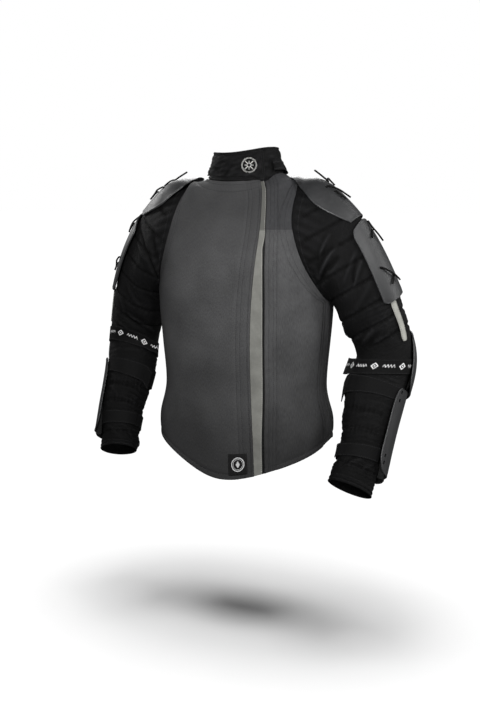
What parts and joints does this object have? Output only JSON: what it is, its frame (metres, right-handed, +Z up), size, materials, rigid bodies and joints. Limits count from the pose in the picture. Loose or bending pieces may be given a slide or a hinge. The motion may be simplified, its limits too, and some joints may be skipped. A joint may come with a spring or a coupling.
{
  "type": "historical fencing jacket",
  "caption": "Grey and black padded fencing jacket with a stand collar, an off-centre zip and black plastic guards laced and strapped to its sleeves.",
  "frame": {"origin": "middle of the neck, level with the top of the shoulders, where the wearer carries the jacket", "axes": "+Z up the wearer's back, -Y out of the front, +X towards the wearer's left"},
  "size_m": [0.7587, 0.2694, 0.7321],
  "materials": {
    "plastron_grey": "matt twill",
    "strip_grey": "matt woven",
    "sleeve_black": "matt woven",
    "plastic_dark": "satin",
    "pad_black": "matt foam cloth",
    "strap_black": "matt webbing",
    "lace_black": "braided cord"
  },
  "bodies": {
    "root": {"front_right": "plastron_grey", "front_left": "plastron_grey", "back": "plastron_grey", "zip_strip": "strip_grey", "zip_tape": "pad_black", "hem_label": "pad_black", "collar": "sleeve_black", "collar_base": "sleeve_black", "left_sleeve_upper": "sleeve_black", "left_sleeve_lower": "sleeve_black", "left_shoulder_cap": "plastic_dark", "left_arm_plate": "plastic_dark", "left_elbow_cop": "plastic_dark", "left_elbow_pad": "pad_black", "left_forearm_plate": "plastic_dark", "left_forearm_pad": "pad_black", "left_sleeve_strip": "strip_grey", "left_elbow_band_front": "strap_black", "left_upper_strap_front": "strap_black", "left_lower_strap_front": "strap_black", "left_elbow_band_rear": "strap_black", "left_upper_strap_rear": "strap_black", "left_lower_strap_rear": "strap_black", "left_cap_lace_rear": "lace_black", "left_cap_lace_front": "lace_black", "left_plate_lace_top": "lace_black", "left_plate_lace_low": "lace_black", "right_sleeve_upper": "sleeve_black", "right_sleeve_lower": "sleeve_black", "right_shoulder_cap": "plastic_dark", "right_arm_plate": "plastic_dark", "right_elbow_cop": "plastic_dark", "right_elbow_pad": "pad_black", "right_forearm_plate": "plastic_dark", "right_forearm_pad": "pad_black", "right_sleeve_strip": "strip_grey", "right_elbow_band_front": "strap_black", "right_upper_strap_front": "strap_black", "right_lower_strap_front": "strap_black", "right_elbow_band_rear": "strap_black", "right_upper_strap_rear": "strap_black", "right_lower_strap_rear": "strap_black", "right_cap_lace_rear": "lace_black", "right_cap_lace_front": "lace_black", "right_plate_lace_top": "lace_black", "right_plate_lace_low": "lace_black"}
  },
  "joints": []
}
